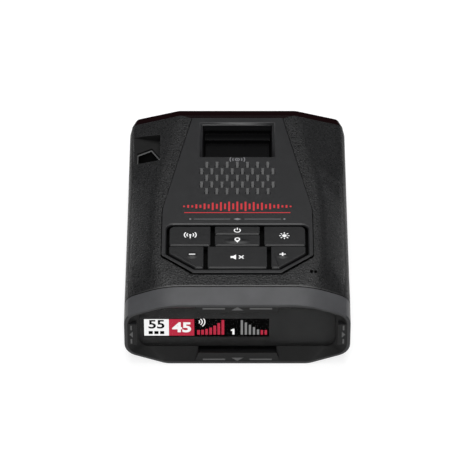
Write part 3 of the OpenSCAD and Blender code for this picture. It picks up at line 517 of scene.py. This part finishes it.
def give_looks(bm, node):
    """Marks the faces that have a look of their own; returns the names of the node's other looks."""
    bm.normal_update()
    others = OTHER_LOOKS.get(node, ())
    names = sorted({name for name, _ in others})
    for face in bm.faces:
        for name, chosen in others:
            if chosen(face):
                face.material_index = 1 + names.index(name)
    return names


# ---- mouldings with rounded edges ----

def cad_copy(node):
    """A bmesh of a CAD node with its flat faces whole."""
    bm = bmesh.new()
    bm.from_mesh(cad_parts[node].data)
    bmesh.ops.remove_doubles(bm, verts=bm.verts, dist=0.001 * MM)
    bmesh.ops.dissolve_limit(bm, angle_limit=math.radians(0.1), verts=bm.verts, edges=bm.edges)
    return bm


def corner_edges(bm, angle=28.0, where=None):
    """The edges whose faces meet at more than angle degrees, where the midpoint passes where."""
    found = []
    for edge in bm.edges:
        if len(edge.link_faces) == 2 and edge.calc_face_angle() > math.radians(angle):
            middle = (edge.verts[0].co + edge.verts[1].co) / 2
            if where is None or where(middle, edge):
                found.append(edge)
    return found


def round_edges(bm, edges, width, segments=2):
    """Rounds the edges to a fillet about width metres wide."""
    bmesh.ops.bevel(bm, geom=edges, offset=width, offset_type="OFFSET", segments=segments,
                    profile=0.5, affect="EDGES", clamp_overlap=False)


def moulded_piece(bm, node, look, others):
    """A piece of the case in place of a CAD node, with its main look first."""
    piece = add_object(f"{node}_moulding", mesh_from(bm, node, SHARP_ANGLE), LOOKS[look], CASE,
                       (node,))
    for name in others:
        piece.data.materials.append(LOOKS[name])
    return piece


def moulding(node, look, radius):
    """A copy of a CAD node with even shading and rounded edges, in its place."""
    bm = cad_copy(node)
    if radius:
        round_edges(bm, corner_edges(bm), radius * MM)
    names = give_looks(bm, node)
    if node in CURVED:
        sliced(bm, CELL)
    piece = moulded_piece(bm, node, look, names)
    if node in CURVED:
        blended_normals(piece.data, BLEND_REACH)
    else:
        even_normals(piece)


def control_panel():
    """The raised panel: a wide soft rim round the key well, fine edges elsewhere."""
    bm = cad_copy("control_panel")
    cut_corner = Vector((9.1, -10.8)).normalized()
    cut_corner_reach = 43.3 * MM

    def on_top(edge):
        return all(v.co.z > CASE_TOP - TINY for v in edge.verts)

    def in_well(middle, edge):
        right_half = Vector((abs(middle.x), middle.y))
        return (on_top(edge) and within(middle, (-27.7, -41.9), (27.7, -14.0))
                and right_half.dot(cut_corner) < cut_corner_reach)

    def elsewhere(middle, edge):
        return on_top(edge) and not in_well(middle, edge)

    round_edges(bm, corner_edges(bm, where=in_well), 0.75 * MM, 4)
    round_edges(bm, corner_edges(bm, angle=15, where=elsewhere), 0.16 * MM, 2)
    names = give_looks(bm, "control_panel")
    even_normals(moulded_piece(bm, "control_panel", "panel", names))


# ---- keys ----

def cap_outline(node, height):
    """The outline of a key cap at a height, in order round it."""
    points = {(round(v.co.x, 6), round(v.co.y, 6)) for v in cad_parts[node].data.vertices
              if abs(v.co.z - height) < TINY}
    centre = Vector((sum(p[0] for p in points), sum(p[1] for p in points))) / len(points)
    return sorted((Vector(p) for p in points),
                  key=lambda p: math.atan2(p.y - centre.y, p.x - centre.x))


def outward(points, i):
    """The outward direction of an outline at its point i."""
    before, after = points[i - 1], points[(i + 1) % len(points)]
    first = (points[i] - before).normalized()
    second = (after - points[i]).normalized()
    along = (first + second).normalized()
    return Vector((along.y, -along.x)) / max(0.5, along.dot(first))


def finger_pad(bm, centre, half_length, half_width, height):
    """A smooth raised pad on a key's top."""
    rings, turns = 8, 40
    tip = bm.verts.new(centre + Vector((0, 0, height)))
    last = [tip] * turns
    for ring in range(1, rings + 1):
        reach = ring / rings
        rise = height * (0.5 + 0.5 * math.cos(math.pi * reach)) - TINY * reach
        row = []
        for turn in range(turns):
            angle = 2 * math.pi * turn / turns
            row.append(bm.verts.new(centre + Vector((half_length * reach * math.cos(angle),
                                                     half_width * reach * math.sin(angle), rise))))
        for turn in range(turns):
            corners = [last[turn], row[turn], row[(turn + 1) % turns], last[(turn + 1) % turns]]
            bm.faces.new(corners[:3] if ring == 1 else corners)
        last = row


def rounded_cap(bm, outline, bottom, steps=6):
    """The cap of a key: upright sides and a rounded top edge, softest at the near side."""
    depth = max(p.y for p in outline) - min(p.y for p in outline)
    soft = min(0.85 * MM, depth * 0.2)
    directions = [outward(outline, i) for i in range(len(outline))]
    radii = [soft if d.y < -0.3 else 0.25 * MM for d in directions]
    rings = [[bm.verts.new((p.x, p.y, bottom)) for p in outline]]
    for step in range(steps + 1):
        turn = math.pi / 2 * step / steps
        ring = []
        for point, direction, radius in zip(outline, directions, radii):
            inward = point - direction * radius * (1 - math.cos(turn))
            ring.append(bm.verts.new((inward.x, inward.y, KEY_TOP - radius * (1 - math.sin(turn)))))
        rings.append(ring)
    count = len(outline)
    for lower, upper in zip(rings, rings[1:]):
        for i in range(count):
            j = (i + 1) % count
            bm.faces.new((lower[i], lower[j], upper[j], upper[i]))
    bm.faces.new(rings[-1])


def copy_below(bm, source, height):
    """Copies the faces of a mesh that lie below a height."""
    kept = {}
    for polygon in source.polygons:
        corners = [source.vertices[i].co for i in polygon.vertices]
        if all(c.z < height + TINY for c in corners):
            face = []
            for index, corner in zip(polygon.vertices, corners):
                if index not in kept:
                    kept[index] = bm.verts.new(corner)
                face.append(kept[index])
            bm.faces.new(face)


def key_cap(key, pad=None):
    """A key with a soft near edge. Its stem and clip stay as the CAD has them."""
    node = f"key_{key}"
    cap_bottom = KEY_TOP - 2.1 * MM
    bm = bmesh.new()
    rounded_cap(bm, cap_outline(node, KEY_TOP - 0.4 * MM), cap_bottom)
    if pad:
        finger_pad(bm, *pad)
    copy_below(bm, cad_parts[node].data, cap_bottom)
    bmesh.ops.remove_doubles(bm, verts=bm.verts, dist=0.001 * MM)
    even_normals(add_object(f"{node}_cap", mesh_from(bm, node, 40), LOOKS["key"], f"{key}_key",
                            (node,)))


# Finger pads: centre, half length, half width, height
PADS = {
    "mark": (Vector((0, -24.3 * MM, KEY_TOP)), 6.0 * MM, 2.2 * MM, PAD_HEIGHT),
    "volume_down": (Vector((-PAD_X * MM, PAD_Y * MM, KEY_TOP)), 2.5 * MM, 2.4 * MM, PAD_HEIGHT),
    "volume_up": (Vector((PAD_X * MM, PAD_Y * MM, KEY_TOP)), 2.5 * MM, 2.4 * MM, PAD_HEIGHT),
}


# ---- flat symbols ----

def arc(centre, radius, start, end, steps=16):
    """Points along an arc, in degrees."""
    return [Vector((centre[0] + radius * math.cos(math.radians(start + (end - start) * i / steps)),
                    centre[1] + radius * math.sin(math.radians(start + (end - start) * i / steps))))
            for i in range(steps + 1)]


def band(centre, radius, width, start, end, steps=20):
    """A stroke of the given width along an arc."""
    return (arc(centre, radius + width / 2, start, end, steps)
            + arc(centre, radius - width / 2, end, start, steps))


def bar(x0, y0, x1, y1):
    """An upright rectangle."""
    return [(x0, y0), (x1, y0), (x1, y1), (x0, y1)]


def stroke(start, end, width):
    """A straight stroke from start to end."""
    start, end = Vector(start), Vector(end)
    side = Vector((-(end - start).y, (end - start).x)).normalized() * width / 2
    return [start + side, start - side, end - side, end + side]


def symbol(name, outlines, look, place, body=CASE):
    """Flat faces from outlines in millimetres; place turns a point of an outline into the frame."""
    bm = bmesh.new()
    for outline in outlines:
        bm.faces.new([bm.verts.new(place(p[0] * MM, p[1] * MM)) for p in outline])
    mesh = bpy.data.meshes.new(name)
    bm.to_mesh(mesh)
    bm.free()
    add_object(name, mesh, LOOKS[look], body)


def on_key(x, y):
    """Places a symbol on the keys' tops, round a centre in millimetres."""
    return lambda u, v: (x * MM + u, y * MM + v, KEY_TOP + TINY)


def on_panel(u, v):
    """Places a symbol on the panel's top."""
    return (u, v, CASE_TOP + TINY)


def sensitivity_symbol():
    """A mast between two pairs of waves."""
    shapes = [arc((0, 0.5), 0.45, 0, 360), stroke((0, 0.3), (0, -1.5), 0.45)]
    for side in (0, 180):
        for radius in (1.3, 2.3):
            shapes.append(band((0, 0.5), radius, 0.42, side - 42, side + 42))
    return shapes


def power_symbol():
    """An open ring with a stroke in its gap."""
    return [band((0, -0.1), 1.15, 0.42, 130, 410, 28), stroke((0, 0.2), (0, 1.5), 0.42)]


def mark_symbol():
    """A place mark: a ring with a point below."""
    return [band((0, 0.5), 0.85, 0.5, 0, 360, 28), [(-0.95, -0.1), (0, -1.6), (0.95, -0.1), (0, -0.55)]]


def brightness_symbol():
    """A sun."""
    shapes = [arc((0, 0), 0.85, 0, 360, 24)]
    for ray in range(8):
        angle = math.radians(45 * ray)
        direction = Vector((math.cos(angle), math.sin(angle)))
        shapes.append(stroke(direction * 1.25, direction * 2.0, 0.4))
    return shapes


def mute_symbol():
    """A loudspeaker and a cross."""
    return [[(-2.6, -0.6), (-1.7, -0.6), (-0.5, -1.5), (-0.5, 1.5), (-1.7, 0.6), (-2.6, 0.6)],
            stroke((0.6, -0.9), (2.4, 0.9), 0.5), stroke((0.6, 0.9), (2.4, -0.9), 0.5)]


def key_symbols():
    """White symbols on the keys; they ride on the keys they are printed on."""
    pad_top = KEY_TOP + PAD_HEIGHT + TINY

    def on_pad(x, y):
        return lambda u, v: (x * MM + u, y * MM + v, pad_top)

    minus = bar(-1.2, -0.25, 1.2, 0.25)
    symbol("sensitivity_symbol", sensitivity_symbol(), "white_ink_painted_glow", on_key(-18.2, -21.0),
           "sensitivity_key")
    symbol("power_symbol", power_symbol(), "white_ink_painted_glow", on_key(0, -17.6), "power_key")
    symbol("mark_symbol", mark_symbol(), "white_ink_painted_glow", on_pad(0, -24.0), "mark_key")
    symbol("brightness_symbol", brightness_symbol(), "white_ink_painted_glow", on_key(18.2, -21.0),
           "brightness_key")
    symbol("mute_symbol", mute_symbol(), "white_ink_painted_glow", on_key(0, -34.0), "mute_key")
    symbol("volume_down_symbol", [minus], "white_ink_painted_glow", on_pad(-PAD_X, PAD_Y + 0.4),
           "volume_down_key")
    symbol("volume_up_symbol", [minus, bar(-0.28, 0.25, 0.28, 1.0), bar(-0.28, -1.0, 0.28, -0.25)],
           "white_ink_painted_glow", on_pad(PAD_X, PAD_Y + 0.4), "volume_up_key")


def signal_pattern():
    """Upright bars that fade towards the ends, over a line."""
    count, pitch, half_width, y = 13, 1.6, 0.36, -3.2
    bars = []
    for i in range(-count, count + 1):
        envelope = math.cos(math.pi / 2 * i / (count + 1)) ** 1.5
        half = (0.6 + 2.4 * envelope) * (1 if i % 2 == 0 else 0.62)
        bars.append(bar(i * pitch - half_width, y - half, i * pitch + half_width, y + half))
    return bars + [bar(-20.7, -7.3, 20.7, -6.85)]


def fine_rule():
    """A thin line in two parts with a diamond between them and a dot at each end."""
    y = -11.1
    lines = [bar(side * 9.9 - 7.1, y - 0.12, side * 9.9 + 7.1, y + 0.12) for side in (-1, 1)]
    dots = [arc((side * 18.3, y), 0.42, 0, 360, 16) for side in (-1, 1)]
    return lines + dots + [[(-1.6, y), (0, y - 0.65), (1.6, y), (0, y + 0.65)]]


def locator_mark():
    """A ringed dot between two pairs of waves."""
    centre = (0, 26.6)
    shapes = [band(centre, 0.8, 0.35, 0, 360, 24), arc(centre, 0.28, 0, 360, 12)]
    for middle in (0, 180):
        shapes += [band(centre, radius, 0.35, middle - 28, middle + 28) for radius in (1.8, 2.9)]
    return shapes


def panel_prints():
    """A red signal pattern, a fine rule under it and a small locator mark."""
    symbol("signal_pattern", signal_pattern(), "red_ink_painted_glow", on_panel)
    symbol("fine_rule", fine_rule(), "grey_ink", on_panel)
    symbol("locator_mark", locator_mark(), "grey_ink", on_panel)


# ---- display ----

def digits(name, text, centre, height, bold, look, place, widen):
    """Numerals of the given height round a centre, in millimetres."""
    curve = bpy.data.curves.new(name, "FONT")
    curve.body = text
    curve.align_x = "CENTER"
    curve.align_y = "CENTER"
    curve.offset = bold
    curve.fill_mode = "FRONT"
    temporary = bpy.data.objects.new(name, curve)
    mesh = bpy.data.meshes.new_from_object(temporary)
    bpy.data.objects.remove(temporary)
    xs = [v.co.x for v in mesh.vertices]
    ys = [v.co.y for v in mesh.vertices]
    scale = height / (max(ys) - min(ys))
    middle = ((max(xs) + min(xs)) / 2, (max(ys) + min(ys)) / 2)
    for v in mesh.vertices:
        v.co = place((centre[0] + (v.co.x - middle[0]) * scale * widen) * MM,
                     (centre[1] + (v.co.y - middle[1]) * scale) * MM)
    add_object(name, mesh, LOOKS[look])


def display():
    """The lit figures: a white and a red box with numerals, and two signal bar graphs."""
    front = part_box("display_glass")[0].y
    box_ends, bottom, top = (-35.7, -26.2, -16.5), 10.0, 18.3
    foot = 10.5

    def at(layer):
        return lambda u, v: (u, front - layer * TINY, v)

    symbol("limit_box", [bar(box_ends[0], bottom, box_ends[1], top)], "lit_white", at(1))
    symbol("speed_box", [bar(box_ends[1], bottom, box_ends[2], top)], "lit_red", at(1))
    digits("limit_digits", "55", (-30.95, 15.7), 4.3, 0.024, "unlit", at(2), 1.12)
    unit = [bar(-34 + 2.2 * i, 10.8, -32.4 + 2.2 * i, 12.3) for i in range(3)]
    symbol("limit_unit", unit, "unlit", at(2))
    digits("speed_digits", "45", (-21.35, 14.2), 5.1, 0.035, "lit_white", at(2), 1.1)
    signal = [bar(-15.4 + 1.555 * i, foot, -14.35 + 1.555 * i, 12.8 + 0.14 * i * i) for i in range(7)]
    symbol("signal_bars", signal, "lit_red", at(1))
    fading = [bar(1.3 + 1.55 * i, foot, 2.15 + 1.55 * i, 17.8 - 1.17 * i) for i in range(5)]
    symbol("fading_bars", fading, "lit_grey", at(1))
    short = [bar(8.95 + 1.5 * i, foot, 9.85 + 1.5 * i, 12.8) for i in range(2)]
    symbol("limit_bars", short, "lit_red", at(1))
    one = [(-1.9, 10.55), (-1.1, 10.55), (-1.1, 13.45), (-1.7, 13.45), (-2.5, 12.9), (-2.5, 12.3),
           (-1.9, 12.55)]
    symbol("count_digit", [one], "lit_white", at(1))
    waves = [band((-15.3, 16.9), radius, 0.4, -50, 50, 10) for radius in (0.9, 1.9, 2.9)]
    symbol("band_waves", waves, "lit_white", at(1))


def window_mask():
    """Dark print on the back of the smoked window, with an opening for the display."""
    low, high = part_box("display_window")
    left, bottom, right, top = -36.1, 9.6, 12.2, 18.7
    edge, corner = 0.4, 5.0
    cut = corner * 0.3
    x0, x1 = low.x / MM + edge, high.x / MM - edge
    z0, z1 = low.z / MM + edge, high.z / MM - edge
    foot, head = z0 + corner, z1 - corner
    outlines = [
        bar(x0, foot, left, head), bar(right, foot, x1, head),
        bar(left, top, right, head), bar(left, foot, right, bottom),
        [(x0, foot), (x0 + cut, z0 + cut), (x0 + corner, z0),
         (x1 - corner, z0), (x1 - cut, z0 + cut), (x1, foot)],
        [(x0, head), (x1, head), (x1 - cut, z1 - cut),
         (x1 - corner, z1), (x0 + corner, z1), (x0 + cut, z1 - cut)]]
    symbol("window_mask", outlines, "mask", lambda u, v: (u, high.y + 0.02 * MM, v))


# ---- studio ----

def in_front(elevation):
    """The direction towards the display end's side at an elevation in degrees; over 90 is behind."""
    rise = math.radians(elevation)
    return Vector((0, -math.cos(rise), math.sin(rise)))


def aimed(item, centre, direction, distance):
    """Puts a light or a camera at a distance from the centre and turns it to the centre."""
    item.location = centre + direction * distance
    item.rotation_mode = "QUATERNION"
    item.rotation_quaternion = direction.to_track_quat("Z", "Y")
    bpy.context.scene.collection.objects.link(item)
    return item


def pale_world():
    """Faint even light from all round."""
    world = bpy.data.worlds.new("pale_studio")
    bpy.context.scene.world = world
    world.use_nodes = True
    background = world.node_tree.nodes["Background"]
    background.inputs["Color"].default_value = (0.9, 0.92, 0.95, 1)
    background.inputs["Strength"].default_value = 0.15


def pale_floor():
    """A round floor just under the object."""
    look = Look("pale_floor", (0.3, 0.3, 0.3), 0.9)
    look.shades(look.noise(200 * MM, 3), 0.3, 0.7, 0.985, 1.01)
    look.glow((1, 1, 1), 0.8)
    bm = bmesh.new()
    bmesh.ops.create_circle(bm, cap_ends=True, segments=96, radius=4.0,
                            matrix=Matrix.Translation((0, 0, -0.05 * MM)))
    mesh = bpy.data.meshes.new("floor")
    bm.to_mesh(mesh)
    bm.free()
    mesh.materials.append(look.material)
    floor = bpy.data.objects.new("floor", mesh)
    bpy.context.scene.collection.objects.link(floor)


def softbox(name, centre, elevation, distance, size, power):
    """A rectangular light that faces the object."""
    light = bpy.data.lights.new(name, "AREA")
    light.shape = "RECTANGLE"
    light.size, light.size_y = size
    light.energy = power
    aimed(bpy.data.objects.new(name, light), centre, in_front(elevation), distance)


def studio():
    """A pale floor, soft boxes and the camera at the photograph's angle."""
    scene = bpy.context.scene
    scene.view_settings.view_transform = "Standard"
    pale_world()
    pale_floor()
    low, high = (Vector(corner) for corner in CAD_BOUNDS)
    centre = (low + high) / 2
    softbox("overhead", centre, 97, 1.2, (0.8, 1.5), 13)
    softbox("front_fill", centre, 47, 2.2, (1.4, 0.9), 16)
    camera_data = bpy.data.cameras.new("camera")
    camera_data.lens = 284.7
    camera_data.sensor_width = 36
    camera_data.shift_x = -0.0007
    camera_data.shift_y = -0.0072
    camera = bpy.data.objects.new("camera", camera_data)
    scene.camera = aimed(camera, centre, in_front(39), 1.476)


# ---- the scene ----

studio()
for node, look in PLAIN_NODES.items():
    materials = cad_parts[node].data.materials
    materials.clear()
    materials.append(LOOKS[look])
for node, (look, slot, radius) in MOULDINGS.items():
    moulding(node, look, radius)
control_panel()
for key in KEYS:
    key_cap(key, PADS.get(key))
key_symbols()
panel_prints()
display()
window_mask()
